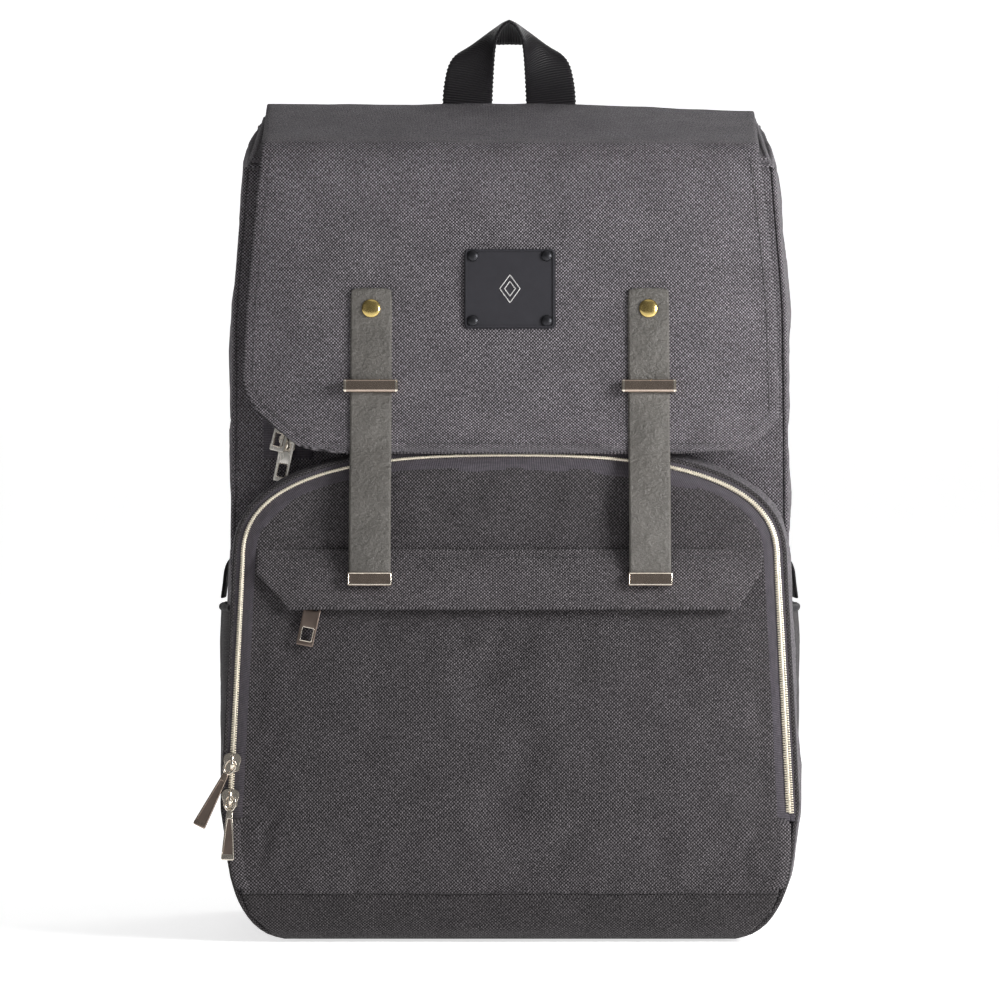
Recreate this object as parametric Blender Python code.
"""A flap-top baby changing backpack: a stiffened main compartment, a zipped front pocket, a two-panel
flap with leather straps, a haul loop and two padded shoulder straps. Metres, +Z up, the front faces -Y.
The origin is the middle of the base."""

import math

import bmesh
import bpy
from mathutils import Matrix, Vector

# Driving sizes
FABRIC = 0.003
GAP = 0.0003

BODY_HALF = 0.142
BODY_TOP_HALF = 0.135
BODY_CORNER = 0.040
BASE_HALF = BODY_HALF - BODY_CORNER
FRONT_Y = -0.038
BACK_Y = 0.080
RIM_FRONT_Z = 0.3925
RIM_BACK_Z = 0.4250

POCKET_FOOT = (-0.095, 0.060)
POCKET_LEAN = math.atan(0.031 / 0.184)
POCKET_HALF_LOW = 0.140
POCKET_HALF_HIGH = 0.135
POCKET_ARCH_START = 0.132
POCKET_ARCH_RISE = 0.0546
POCKET_ARCH_POWER = 2.6
POCKET_FOLD = 0.0355
ZIP_END = 0.004
TEETH = 0.0024
TEETH_PROUD = 0.0022
TAPE = 0.0095
MAIN_ZIP_X = 0.114
STORM_ZIP_Z = 0.1110
SNAP_Z = 0.1475
TIP_Z = 0.1184

FLAP_FOOT = (-0.0470, 0.4005)
FLAP_LEAN = math.atan(0.0210 / 0.155)
FLAP_TOP_BACK = (0.0790, 0.4360)
FLAP_TOP_FRONT = (-0.0485, 0.4030)

STRAP_X = 0.0705
STRAP_WIDTH = 0.0215
STRAP_THICK = 0.0022
STRAP_OFF_FLAP = FABRIC / 2 + GAP + STRAP_THICK / 2
STRAP_OFF_POCKET = 0.0120
STRAP_TOP_Z = 0.3284
KEEPER_Z = 0.2780
KEEPER_TALL = 0.0070
TAIL_TOP_Z = 0.2727

CLOTH_GREY = (0.085, 0.080, 0.084)
LINING_GREY = (0.20, 0.20, 0.21)
LEATHER_GREY = (0.13, 0.125, 0.112)
WEBBING_BLACK = (0.018, 0.016, 0.018)
PALE_GOLD = (0.78, 0.66, 0.54)
BRASS = (0.66, 0.50, 0.16)
BLACK_METAL = (0.022, 0.022, 0.025)


# ---------------------------------------------------------------- helpers

def clear_scene():
    for obj in list(bpy.data.objects):
        bpy.data.objects.remove(obj)


def material(name, colour, roughness, metallic=0.0):
    mat = bpy.data.materials.get(name)
    if mat is None:
        mat = bpy.data.materials.new(name)
        mat.use_nodes = True
        shader = mat.node_tree.nodes["Principled BSDF"]
        shader.inputs["Base Color"].default_value = (*colour, 1.0)
        shader.inputs["Roughness"].default_value = roughness
        shader.inputs["Metallic"].default_value = metallic
    return mat


def cloth():
    return material("cloth", CLOTH_GREY, 0.9)


def lining():
    return material("lining", LINING_GREY, 0.7)


def leather():
    return material("leather", LEATHER_GREY, 0.55)


def webbing():
    return material("webbing", WEBBING_BLACK, 0.6)


def gold():
    return material("pale_gold", PALE_GOLD, 0.25, 1.0)


def black_metal():
    return material("black_metal", BLACK_METAL, 0.4, 0.6)


def link(name, mesh, mat, parent=None):
    obj = bpy.data.objects.new(name, mesh)
    bpy.context.scene.collection.objects.link(obj)
    mesh.materials.append(mat)
    if parent is not None:
        obj.parent = parent
    return obj


def frame(name, matrix):
    empty = bpy.data.objects.new(name, None)
    bpy.context.scene.collection.objects.link(empty)
    empty.matrix_world = matrix
    return empty


def leaning_frame(name, foot, lean):
    """A frame whose XZ plane leans back by `lean`, with -Y as its outward normal."""
    matrix = Matrix.Translation((0, foot[0], foot[1])) @ Matrix.Rotation(-lean, 4, "X")
    return frame(name, matrix)


def thicken(obj, thickness):
    mod = obj.modifiers.new("Thickness", "SOLIDIFY")
    mod.thickness = thickness
    mod.offset = 0.0
    mod.use_even_offset = True
    return obj


def sheet(name, rows, thickness, mat, parent=None, holes=()):
    """A grid of points given as rows, thickened about itself. `holes` lists (row, column) cells left out."""
    bm = bmesh.new()
    grid = [[bm.verts.new(point) for point in row] for row in rows]
    for i in range(len(rows) - 1):
        for j in range(len(rows[0]) - 1):
            if (i, j) not in holes:
                bm.faces.new((grid[i][j], grid[i][j + 1], grid[i + 1][j + 1], grid[i + 1][j]))
    bmesh.ops.recalc_face_normals(bm, faces=bm.faces)
    mesh = bpy.data.meshes.new(name)
    bm.to_mesh(mesh)
    bm.free()
    return thicken(link(name, mesh, mat, parent), thickness)


def panel(name, corners, thickness, mat, parent=None):
    """One flat face with these corners, thickened about itself."""
    bm = bmesh.new()
    bm.faces.new([bm.verts.new(corner) for corner in corners])
    mesh = bpy.data.meshes.new(name)
    bm.to_mesh(mesh)
    bm.free()
    return thicken(link(name, mesh, mat, parent), thickness)


def turned(name, profile, x, z, mat, parent, steps=16):
    """A closed solid turned about the local Y axis at (x, z), from (radius, distance outwards) pairs."""
    bm = bmesh.new()
    rings = []
    for radius, out in profile:
        if radius == 0:
            rings.append([bm.verts.new((x, -out, z))])
            continue
        angles = [2 * math.pi * k / steps for k in range(steps)]
        rings.append([bm.verts.new((x + radius * math.cos(a), -out, z + radius * math.sin(a))) for a in angles])
    for low, high in zip(rings, rings[1:]):
        for k in range(steps):
            after = (k + 1) % steps
            if len(low) == 1:
                bm.faces.new((low[0], high[after], high[k]))
            elif len(high) == 1:
                bm.faces.new((low[k], low[after], high[0]))
            else:
                bm.faces.new((low[k], low[after], high[after], high[k]))
    bmesh.ops.recalc_face_normals(bm, faces=bm.faces)
    mesh = bpy.data.meshes.new(name)
    bm.to_mesh(mesh)
    bm.free()
    obj = link(name, mesh, mat, parent)
    obj.data.shade_smooth()
    obj.data.set_sharp_from_angle(angle=math.radians(35))
    return obj


def helper(obj):
    obj.hide_render = True
    obj.display_type = "WIRE"
    return obj


def boolean(target, other, operation):
    mod = target.modifiers.new(operation.title(), "BOOLEAN")
    mod.operation = operation
    mod.object = other


def side_name(base, side):
    return f"{base}_{'left' if side < 0 else 'right'}"


def smooth_path(points, steps):
    """Points along a Catmull-Rom curve through the given ones."""
    pts = [Vector(p) for p in points]
    pts = [2 * pts[0] - pts[1]] + pts + [2 * pts[-1] - pts[-2]]
    out = []
    for i in range(1, len(pts) - 2):
        a, b, c, d = pts[i - 1:i + 3]
        for k in range(steps):
            t = k / steps
            out.append(0.5 * (2 * b + (c - a) * t + (2 * a - 5 * b + 4 * c - d) * t * t
                              + (3 * b - a - 3 * c + d) * t ** 3))
    out.append(pts[-2])
    return out


# ---------------------------------------------------------------- shared lines

def body_outline(inset=0.0, top_z=None):
    """Right half of the body's front view, from the base to the rim, as (x, z)."""
    points = []
    radius = BODY_CORNER - inset
    for k in range(7):
        angle = math.pi / 2 * k / 6
        points.append((BASE_HALF + radius * math.sin(angle), BODY_CORNER - radius * math.cos(angle)))
    points.append((BODY_HALF - inset, 0.200))
    points.append((BODY_HALF - 0.001 - inset, 0.320))
    points.append((BODY_TOP_HALF - inset, top_z))
    return points


def closed_outline(half, y):
    """A half outline mirrored about X = 0 into one closed loop of points at this y."""
    left = [(-x, y, z) for x, z in reversed(half)]
    return [(x, y, z) for x, z in half] + left


def pocket_line(offset=0.0, start=ZIP_END, steps=22):
    """The zip's centre line in the pocket frame as (x, z), left foot to right foot, moved outwards by `offset`."""
    points = [(-POCKET_HALF_LOW, start)]
    if start >= POCKET_FOLD:
        share = (start - ZIP_END) / (POCKET_ARCH_START - ZIP_END)
        points = [(-POCKET_HALF_LOW + share * (POCKET_HALF_LOW - POCKET_HALF_HIGH), start)]
    for k in range(steps + 1):
        angle = math.pi * k / steps
        power = 2 / POCKET_ARCH_POWER
        x = -POCKET_HALF_HIGH * math.copysign(abs(math.cos(angle)) ** power, math.cos(angle))
        points.append((x, POCKET_ARCH_START + POCKET_ARCH_RISE * math.sin(angle) ** power))
    points.append((-points[0][0], start))
    return offset_line(points, offset)


def offset_line(points, offset):
    """The open line moved to its left-hand side as seen from the front, which is outwards for an arch."""
    out = []
    for i, (x, z) in enumerate(points):
        before = Vector(points[max(i - 1, 0)])
        after = Vector(points[min(i + 1, len(points) - 1)])
        along = (after - before).normalized()
        out.append((x - along.y * offset, z + along.x * offset))
    return out


def pocket_front_y(z):
    """Where the front pocket's rim lies at a height."""
    foot_y, foot_z = POCKET_FOOT
    if z >= foot_z:
        return foot_y + (z - foot_z) * math.tan(POCKET_LEAN)
    return foot_y + max(0.0, 0.030 - z) * 0.25


def on_pocket(z, out):
    """World (y, z) of a point in the pocket frame at local height z, `out` in front of its plane."""
    sin, cos = math.sin(POCKET_LEAN), math.cos(POCKET_LEAN)
    return POCKET_FOOT[0] + z * sin - out * cos, POCKET_FOOT[1] + z * cos + out * sin


def flap_local(z):
    return (z - FLAP_FOOT[1]) / math.cos(FLAP_LEAN)


def on_flap(z, out):
    """World (y, z) of a point on the flap front at world height z, `out` in front of its middle."""
    sin, cos = math.sin(FLAP_LEAN), math.cos(FLAP_LEAN)
    local = flap_local(z)
    return FLAP_FOOT[0] + local * sin - out * cos, FLAP_FOOT[1] + local * cos + out * sin


# ---------------------------------------------------------------- main compartment

def base():
    """The base, which turns up in front to the pocket's bottom seam, and the stiffening board on it."""
    rows = []
    for half, y, z in ((0.1250, -0.0944, 0.0235), (0.1150, -0.0928, 0.0125), (0.1030, -0.0895, 0.0045),
                       (BASE_HALF, -0.0840, FABRIC / 2), (BASE_HALF, BACK_Y - FABRIC - GAP, FABRIC / 2)):
        rows.append([(-half, y, z), (half, y, z)])
    sheet("base_panel", rows, FABRIC, cloth())
    y0, y1 = FRONT_Y + FABRIC + 0.004, BACK_Y - FABRIC - 0.004
    board = [(-0.098, y0), (0.098, y0), (0.098, y1), (-0.098, y1)]
    panel("base_board", [(x, y, FABRIC + GAP + 0.001) for x, y in board], 0.002, black_metal())


def gussets():
    y0, y1 = FRONT_Y + FABRIC + GAP, BACK_Y - FABRIC - GAP
    for side in (-1, 1):
        rows = []
        line = body_outline(FABRIC / 2, RIM_FRONT_Z)
        line[0] = (line[0][0] + GAP, line[0][1])
        for x, z in line[:-1]:
            rows.append([(side * x, y0, z), (side * x, y1, z)])
        x_rim = line[-1][0]
        rows.append([(side * x_rim, y0, RIM_FRONT_Z), (side * x_rim, y1, RIM_BACK_Z)])
        sheet(side_name("gusset", side), rows, FABRIC, cloth())


def end_panels():
    above_base = [(x, max(z, FABRIC + GAP)) for x, z in body_outline(0.0, RIM_FRONT_Z)]
    front = closed_outline(above_base, FRONT_Y + FABRIC / 2)
    panel("main_front_panel", front, FABRIC, cloth())
    back = closed_outline(body_outline(0.0, RIM_BACK_Z + FABRIC), BACK_Y - FABRIC / 2)
    panel("back_panel", back, FABRIC, cloth())


def back_padding():
    """The foam pad of the back, with the spine channel pressed into it."""
    thick = 0.012
    middle = BACK_Y + GAP + thick / 2
    corners = [(0.092, 0.022), (0.104, 0.050), (0.106, 0.140), (0.118, 0.220), (0.120, 0.355), (0.108, 0.380)]
    outline = [(x, middle, z) for x, z in corners] + [(-x, middle, z) for x, z in reversed(corners)]
    pad = panel("back_padding", outline, thick, webbing())
    channel = panel("back_channel_cut", [(-0.012, middle + thick / 2, 0.060), (0.012, middle + thick / 2, 0.060),
                                         (0.012, middle + thick / 2, 0.350), (-0.012, middle + thick / 2, 0.350)],
                    0.008, webbing())
    boolean(pad, helper(channel), "DIFFERENCE")


def divider_sleeve():
    """The padded sleeve inside, sewn to the back wall."""
    y = BACK_Y - FABRIC - GAP - 0.004
    corners = [(-0.118, 0.016), (0.118, 0.016), (0.126, 0.050), (0.126, 0.290), (-0.126, 0.290), (-0.126, 0.050)]
    panel("divider_sleeve", [(x, y, z) for x, z in corners], 0.006, lining())


def top_panel():
    """The zipped top of the main compartment. It lifts about its back edge."""
    rows = [[(-0.1325, y, z), (0.1325, y, z)] for y, z in ((0.0750, 0.4280), (-0.0365, 0.3965))]
    sheet("top_panel", rows, FABRIC, cloth())


def main_zip():
    """The main zip's teeth on the front wall: up the left, across under the top and down the right."""
    y = FRONT_Y - GAP - TEETH_PROUD / 2
    top, bend = 0.380, 0.018
    line = [(-MAIN_ZIP_X, 0.2430), (-MAIN_ZIP_X, top - bend)]
    for k in range(1, 7):
        angle = math.pi / 2 * k / 6
        line.append((-MAIN_ZIP_X + bend * (1 - math.cos(angle)), top - bend + bend * math.sin(angle)))
    line += [(-x, z) for x, z in reversed(line)]
    rows = []
    for inner, outer in zip(offset_line(line, -TEETH), offset_line(line, TEETH)):
        rows.append([(inner[0], y, inner[1]), (outer[0], y, outer[1])])
    sheet("main_zip", rows, TEETH_PROUD, gold())


# ---------------------------------------------------------------- side pockets and loops

def side_pockets():
    """Open-topped pockets bowed out from the gussets. Each one's floor turns in to the gusset."""
    start = BODY_HALF + 0.0018
    bow = [(start, -0.026), (0.1490, -0.016), (0.1515, 0.004), (0.1525, 0.021), (0.1515, 0.038),
           (0.1490, 0.058), (start, 0.068)]
    for side in (-1, 1):
        rows = []
        for z, share in ((0.050, 0.0), (0.051, 0.60), (0.062, 0.92), (0.120, 1.0), (0.167, 0.92)):
            rows.append([(side * (start + (x - start) * share), y, z) for x, y in bow])
        sheet(side_name("side_pocket", side), rows, 0.002, cloth())


def side_loops():
    """Webbing loops that stand out above the side pockets."""
    for side in (-1, 1):
        path = smooth_path([(0.1432, 0.1895), (0.1465, 0.1893), (0.1488, 0.1850), (0.1500, 0.1760), (0.1512, 0.1705)], 3)
        rows = [[(side * p.x, 0.008, p.y), (side * p.x, 0.033, p.y)] for p in path]
        sheet(side_name("side_loop", side), rows, 0.0014, webbing())


# ---------------------------------------------------------------- front pocket

def pocket_gusset():
    """The arched wall between the main front panel and the pocket's zip."""
    wall = FABRIC
    arch = [(x, *on_pocket(z, 0.0)) for x, z in pocket_line(wall / 2 + 0.0002)]
    foot = [(0.1045, 0.0015), (0.1190, 0.0040), (0.1310, 0.0150), (0.1380, 0.0330), (0.1412, 0.0560)]
    line = [(-x, z) for x, z in foot] + [(x, z) for x, _, z in arch] + [(x, z) for x, z in reversed(foot)]
    rows = [[(x, pocket_front_y(z) + 0.0012, z), (x, FRONT_Y - GAP, z)] for x, z in line]
    sheet("pocket_gusset", rows, wall, cloth())


def pocket_lower_panel():
    """The part of the pocket's face below its fold line, down to the bottom seam."""
    heights = [0.0352, 0.0200, 0.0]
    rows = []
    for local in heights:
        y, z = on_pocket(local, -0.0005)
        rows.append([(-0.1372, y, z), (0.1372, y, z)])
    for half, y, z in ((0.1365, -0.0958, 0.0450), (0.1300, -0.0955, 0.0270)):
        rows.append([(-half, y, z), (half, y, z)])
    sheet("pocket_lower_panel", rows, FABRIC, cloth())


def pocket_band(name, inner, outer, start, parent):
    rows = []
    y = -TEETH_PROUD / 2
    for a, b in zip(pocket_line(inner, start), pocket_line(outer, start)):
        rows.append([(a[0], y, a[1]), (b[0], y, b[1])])
    rows[0] = [(x, y, start) for x, _, _ in rows[0]]
    rows[-1] = [(x, y, start) for x, _, _ in rows[-1]]
    return sheet(name, rows, TEETH_PROUD, gold(), parent)


def pocket_door(face):
    """The zipped face of the pocket above its fold line."""
    line = pocket_line(-TAPE - GAP, POCKET_FOLD + GAP)
    line[0] = (line[0][0], POCKET_FOLD + GAP)
    line[-1] = (line[-1][0], POCKET_FOLD + GAP)
    panel("pocket_door", [(x, -0.0005, z) for x, z in line], 0.004, cloth(), face)


def storm_flap(face):
    """The cover over the face's own zip: sewn along its top edge and lifted at its lower one."""
    top, low, cut = 0.1370, 0.1070, 0.0190
    rows = [[(-0.1235, -0.0042, top), (0.1235, -0.0042, top)],
            [(-0.1235, -0.0080, low + cut), (0.1235, -0.0080, low + cut)],
            [(-0.1100, -0.0098, low), (0.1150, -0.0098, low)]]
    sheet("storm_flap", rows, 0.0016, cloth(), face)
    zip_rows = [[(-0.1060, -0.0034, STORM_ZIP_Z + z), (0.1060, -0.0034, STORM_ZIP_Z + z)] for z in (-TEETH, TEETH)]
    sheet("storm_zip", zip_rows, 0.0011, gold(), face)


def front_pocket(face):
    pocket_gusset()
    pocket_lower_panel()
    pocket_band("pocket_zip_outer", 0.0001, TEETH, ZIP_END, face)
    pocket_band("pocket_zip_inner", -TAPE, -0.0001, POCKET_FOLD + GAP, face)
    pocket_door(face)
    storm_flap(face)
    for side in (-1, 1):
        profile = [(0, 0.0028), (0.0075, 0.0028), (0.0075, 0.0056), (0, 0.0056)]
        turned(side_name("pocket_magnet", side), profile, side * STRAP_X, SNAP_Z, black_metal(), face)


# ---------------------------------------------------------------- zip sliders and pulls

SLIDER_LOW = TEETH_PROUD + GAP
SLIDER_TOP = 0.0038
BRIDGE_ROOM = 0.0014
BRIDGE_OUT = SLIDER_TOP + BRIDGE_ROOM / 2


def slider(name, place):
    """A slider riding on the teeth, with a bridge that its pull hangs from."""
    half = 0.0045
    shape = [(-half, -0.0032), (-0.0032, -half), (0.0032, -half), (half, -0.0032), (half, 0.0032),
             (0.0032, half), (-0.0032, half), (-half, 0.0032)]
    middle = (SLIDER_LOW + SLIDER_TOP) / 2
    body = panel(name, [(x, -middle, z) for x, z in shape], SLIDER_TOP - SLIDER_LOW, gold(), place)
    foot, under, over = SLIDER_TOP - 0.0006, SLIDER_TOP + BRIDGE_ROOM, SLIDER_TOP + BRIDGE_ROOM + 0.0007
    arch = [(-0.0023, foot), (-0.0023, over), (0.0023, over), (0.0023, foot),
            (0.0015, foot), (0.0015, under), (-0.0015, under), (-0.0015, foot)]
    bridge = panel(name + "_bridge", [(0, -out, z) for z, out in arch], 0.0012, gold(), place)
    boolean(body, helper(bridge), "UNION")


def pull(name, place, length, grow):
    """A flat tab hanging from `place`, with a window for the slider's bridge and one near its foot.
    `grow` is its width over a plain pull's."""
    levels = [(0.0005, 0.0031, 0.0021), (-0.0005, 0.0031, 0.0021), (-0.0050, 0.0029, 0.0019),
              (-length + 0.0100, 0.0030, 0.0019), (-length + 0.0024, 0.0034, 0.0021), (-length, 0.0034, 0.0021)]
    levels = [(z, outer * grow, inner * grow) for z, outer, inner in levels]
    rows = [[(-outer, 0, z), (-inner, 0, z), (inner, 0, z), (outer, 0, z)] for z, outer, inner in levels]
    sheet(name, rows, 0.0009, gold(), place, holes=((1, 1), (3, 1)))


def slider_and_pull(prefix, face, x, z, out, tilt, length, lean=0.0, grow=1.0):
    """A slider at (x, z) on a face, and its pull hanging `tilt` degrees from straight down, `lean` off the face."""
    slider(prefix + "_slider", frame(prefix + "_slider_place", face.matrix_world @ Matrix.Translation((x, -out, z))))
    hang = face.matrix_world @ Matrix.Translation((x, -out - BRIDGE_OUT, z))
    hang = hang @ Matrix.Rotation(math.radians(tilt), 4, "Y") @ Matrix.Rotation(math.radians(-lean), 4, "X")
    pull(prefix + "_pull", frame(prefix + "_pull_place", hang), length, grow)


def zip_hardware(pocket_face):
    wall = frame("main_zip_place", Matrix.Translation((0, FRONT_Y - GAP, 0)))
    slider_and_pull("main_upper", wall, -MAIN_ZIP_X, 0.2690, 0, 14, 0.0235, lean=10, grow=1.08)
    slider_and_pull("main_lower", wall, -MAIN_ZIP_X, 0.2510, 0, 11, 0.0205, grow=1.08)
    for name, local, tilt, length in (("pocket_upper", 0.0300, 27, 0.0360), ("pocket_lower", 0.0120, 2, 0.0310)):
        share = (local - ZIP_END) / (POCKET_ARCH_START - ZIP_END)
        x = -POCKET_HALF_LOW + share * (POCKET_HALF_LOW - POCKET_HALF_HIGH)
        slider_and_pull(name, pocket_face, x, local, 0, tilt, length)
    slider_and_pull("storm", pocket_face, -0.0985, STORM_ZIP_Z, 0.0017, 12, 0.0230, grow=1.26)


# ---------------------------------------------------------------- flap

def flap_top():
    rows = []
    for (y, z), half in ((FLAP_TOP_BACK, 0.131), (FLAP_TOP_FRONT, 0.127)):
        rows.append([(-half, y, z), (half, y, z)])
    sheet("flap_top", rows, FABRIC, cloth())


def rivet(name, face, x, z, radius, head_out, steps=12):
    """A domed rivet through the flap front: head, shank and the washer inside."""
    shank, washer_out = 0.0012, -FABRIC / 2 - GAP
    profile = [(0, washer_out - 0.0010), (radius * 0.9, washer_out - 0.0010), (radius * 0.9, washer_out),
               (shank, washer_out), (shank, head_out), (radius, head_out)]
    for k in range(1, 4):
        angle = math.pi / 2 * k / 3
        profile.append((radius * math.cos(angle) if k < 3 else 0, head_out + 0.0004 + 0.0016 * math.sin(angle)))
    mat = material("brass", BRASS, 0.3, 1.0) if radius > 0.004 else black_metal()
    return turned(name, profile, x, z, mat, face, steps)


def drill(face, x, z, targets):
    hole = turned(f"rivet_hole_{x:.3f}_{z:.3f}", [(0, -0.01), (0.0016, -0.01), (0.0016, 0.02), (0, 0.02)],
                  x, z, black_metal(), face, 12)
    for target in targets:
        boolean(target, helper(hole), "DIFFERENCE")


def flap_front(face):
    half_outline = [(0.1260, 0.0), (0.1345, -0.080), (0.1365, -0.131), (0.1125, -0.1520), (0.1060, -0.1560)]
    corners = [(x, 0, z) for x, z in half_outline] + [(-x, 0, z) for x, z in reversed(half_outline)]
    cover = panel("flap_front", corners, FABRIC, cloth(), face)
    label(face, cover)
    for side in (-1, 1):
        flap_strap(face, cover, side)


def label(face, cover):
    half_wide, half_tall, thick, middle = 0.0231, 0.0206, 0.0014, flap_local(0.3286)
    out = FABRIC / 2 + GAP + thick / 2
    corners = [(-half_wide, -half_tall), (half_wide, -half_tall), (half_wide, half_tall), (-half_wide, half_tall)]
    plate = panel("label_plate", [(x, -out, middle + z) for x, z in corners], thick, black_metal(), face)
    for number, (sx, sz) in enumerate(((-1, 1), (1, 1), (-1, -1), (1, -1)), 1):
        x, z = sx * 0.0188, middle + sz * 0.0168
        drill(face, x, z, (plate, cover))
        rivet(f"label_rivet_{number}", face, x, z, 0.0030, out + thick / 2 + GAP, 10)


def flap_strap(face, cover, side):
    """The part of a leather strap riveted to the flap, and the metal keeper that it runs under."""
    x = side * STRAP_X
    top, low = flap_local(STRAP_TOP_Z), flap_local(TAIL_TOP_Z + 2 * GAP)
    half = STRAP_WIDTH / 2
    corners = [(x - half, top), (x + half, top), (x + half, low), (x - half, low)]
    strap = panel(side_name("strap_upper", side), [(px, -STRAP_OFF_FLAP, pz) for px, pz in corners],
                  STRAP_THICK, leather(), face)
    rivet_z = top - 0.0105
    drill(face, x, rivet_z, (strap, cover))
    rivet(side_name("strap_rivet", side), face, x, rivet_z, 0.0048, STRAP_OFF_FLAP + STRAP_THICK / 2 + GAP, 14)
    foot, under, over = FABRIC / 2 + GAP, STRAP_OFF_FLAP + STRAP_THICK / 2 + GAP, STRAP_OFF_FLAP + STRAP_THICK / 2 + 0.0018
    inner, outer = half + 0.0005, half + 0.0030
    profile = [(-outer, foot), (-inner, foot), (-inner, under), (inner, under), (inner, foot), (outer, foot),
               (outer, over), (-outer, over)]
    panel(side_name("keeper", side), [(x + px, -out, flap_local(KEEPER_Z)) for px, out in profile],
          KEEPER_TALL, gold(), face)


def strap_tails(pocket_face):
    """The loose lower part of each strap, its metal tip and its half of the magnetic snap."""
    start = [on_flap(TAIL_TOP_Z, STRAP_OFF_FLAP), on_flap(0.2620, STRAP_OFF_FLAP), on_flap(0.2480, STRAP_OFF_FLAP)]
    over = [(-0.0768, 0.2330), (-0.0812, 0.2180)]
    end = [on_pocket(SNAP_Z, STRAP_OFF_POCKET), on_pocket(TIP_Z + 0.0012, STRAP_OFF_POCKET)]
    line = smooth_path([(y, z, 0) for y, z in start + over + end], 2)
    for side in (-1, 1):
        x, half = side * STRAP_X, STRAP_WIDTH / 2
        rows = [[(x - half, p.x, p.y), (x + half, p.x, p.y)] for p in line]
        sheet(side_name("strap_tail", side), rows, STRAP_THICK, leather())
        back, front = 0.0062, STRAP_OFF_POCKET - STRAP_THICK / 2 - GAP
        profile = [(0, back), (0.0070, back), (0.0070, front), (0, front)]
        turned(side_name("strap_magnet", side), profile, x, SNAP_Z, black_metal(), pocket_face)
        low, top, wall = TIP_Z - 0.0003, TIP_Z + 0.0063, 0.0007
        room = STRAP_THICK / 2 + GAP
        channel = [(-room - wall, top), (-room, top), (-room, low + 0.001), (room, low + 0.001), (room, top),
                   (room + wall, top), (room + wall, low), (-room - wall, low)]
        panel(side_name("strap_tip", side), [(x, -STRAP_OFF_POCKET - out, z) for out, z in channel],
              STRAP_WIDTH + 0.0008, gold(), pocket_face)


# ---------------------------------------------------------------- haul loop

HANDLE_INNER = [(-0.0095, 0.0815, 0.4290), (-0.0086, 0.0815, 0.4500), (-0.0068, 0.0800, 0.4690), (-0.0040, 0.0785, 0.4785),
                (0.0, 0.0780, 0.4815)]
HANDLE_OUTER = [(-0.0360, 0.0815, 0.4290), (-0.0348, 0.0815, 0.4490), (-0.0310, 0.0870, 0.4610), (-0.0170, 0.0975, 0.4680),
                (0.0, 0.1020, 0.4705)]


def handle():
    """Webbing whose two legs are sewn flat and which turns over backwards at the grip."""
    inner = smooth_path(HANDLE_INNER, 3)
    outer = smooth_path(HANDLE_OUTER, 3)
    left = [[a.lerp(b, t) for t in (0, 0.5, 1)] for a, b in zip(inner, outer)]
    right = [[Vector((-p.x, p.y, p.z)) for p in row] for row in reversed(left[:-1])]
    sheet("handle", left + right, 0.0018, webbing())


def strap_yoke():
    """The cloth patch that covers the sewn ends of the haul loop and the shoulder straps."""
    corners = [(-0.090, 0.4085), (0.090, 0.4085), (0.080, 0.4275), (-0.080, 0.4275)]
    panel("strap_yoke", [(x, BACK_Y + GAP + 0.001, z) for x, z in corners], 0.002, cloth())


# ---------------------------------------------------------------- shoulder straps

PAD_LINE = [(0.0470, 0.1010, 0.4080), (0.0560, 0.1170, 0.3680), (0.0680, 0.1290, 0.3300), (0.0830, 0.1330, 0.2850),
            (0.0970, 0.1290, 0.2400), (0.1060, 0.1190, 0.2050), (0.1100, 0.1110, 0.1850)]
PAD_HALF = [0.0180, 0.0270, 0.0300, 0.0295, 0.0275, 0.0230, 0.0170]
BUCKLE_AT = Vector((0.1118, 0.1050, 0.1690))
WEBBING_END = Vector((0.1300, 0.0930, 0.0480))


def shoulder_pad(side):
    line = smooth_path(PAD_LINE, 2)
    widths = smooth_path([(half, 0, 0) for half in PAD_HALF], 2)
    rows = []
    for i, (point, width) in enumerate(zip(line, widths)):
        along = (line[min(i + 1, len(line) - 1)] - line[max(i - 1, 0)]).normalized()
        across = along.cross(Vector((0, 1, 0))).normalized()
        rows.append([(side * q.x, q.y, q.z) for q in (point - across * width.x, point + across * width.x)])
    sheet(side_name("shoulder_pad", side), rows, 0.010, webbing())


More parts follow.
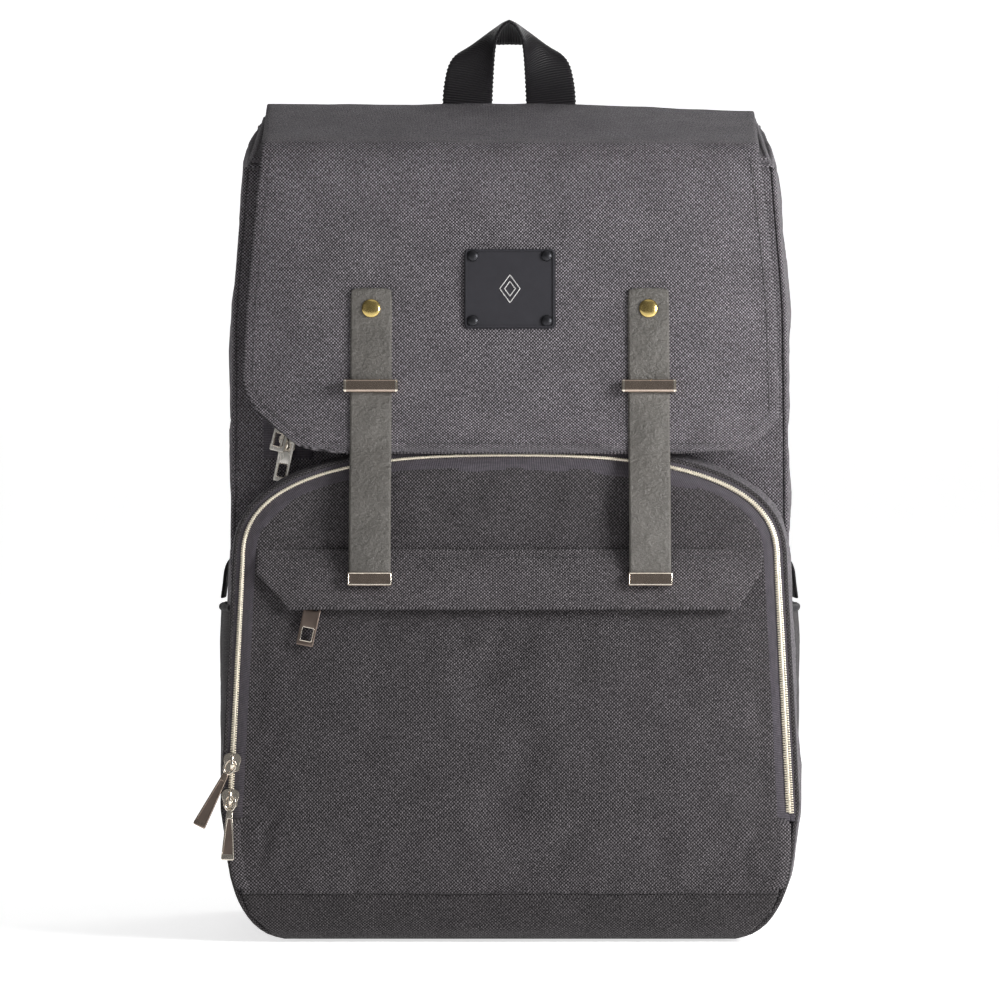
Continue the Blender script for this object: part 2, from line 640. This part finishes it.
def harness_frame(side):
    """A frame at the buckle: Z up along the webbing, Y away from the back."""
    down = (WEBBING_END - BUCKLE_AT).normalized()
    up = -Vector((side * down.x, down.y, down.z))
    out = Vector((0, 1, 0))
    out = (out - up * out.dot(up)).normalized()
    wide = out.cross(up).normalized()
    matrix = Matrix((wide, out, up)).transposed().to_4x4()
    matrix.translation = Vector((side * BUCKLE_AT.x, BUCKLE_AT.y, BUCKLE_AT.z))
    return frame(side_name("harness", side), matrix)


def ladder_lock(side, place):
    """The strap adjuster: three bars between two rails."""
    outer, inner = 0.0170, 0.0132
    rows = [[(-outer, 0, z), (-inner, 0, z), (inner, 0, z), (outer, 0, z)]
            for z in (0.0130, 0.0090, 0.0030, -0.0010, -0.0070, -0.0110)]
    sheet(side_name("ladder_lock", side), rows, 0.0032, black_metal(), place, holes=((1, 1), (3, 1)))


def lower_webbing(side, place):
    """Webbing from the bottom corner, up behind the adjuster, over its middle bar and down as a loose tail."""
    length = (WEBBING_END - BUCKLE_AT).length
    path = [(-0.0036, -length), (-0.0036, -0.0100), (-0.0036, 0.0025), (-0.0022, 0.0052), (0.0022, 0.0052),
            (0.0036, 0.0025), (0.0036, -0.0120), (0.0042, -0.0720)]
    rows = [[(-0.0120, out, z), (0.0120, out, z)] for out, z in path]
    sheet(side_name("webbing", side), rows, 0.0015, webbing(), place)


def shoulder_straps():
    for side in (-1, 1):
        shoulder_pad(side)
        place = harness_frame(side)
        ladder_lock(side, place)
        lower_webbing(side, place)


# ---------------------------------------------------------------- assembly

def build():
    clear_scene()
    pocket_face = leaning_frame("pocket_face", POCKET_FOOT, POCKET_LEAN)
    flap_face = leaning_frame("flap_face", FLAP_FOOT, FLAP_LEAN)
    base()
    gussets()
    end_panels()
    back_padding()
    divider_sleeve()
    top_panel()
    main_zip()
    side_pockets()
    side_loops()
    front_pocket(pocket_face)
    zip_hardware(pocket_face)
    flap_top()
    flap_front(flap_face)
    strap_tails(pocket_face)
    handle()
    strap_yoke()
    shoulder_straps()


build()
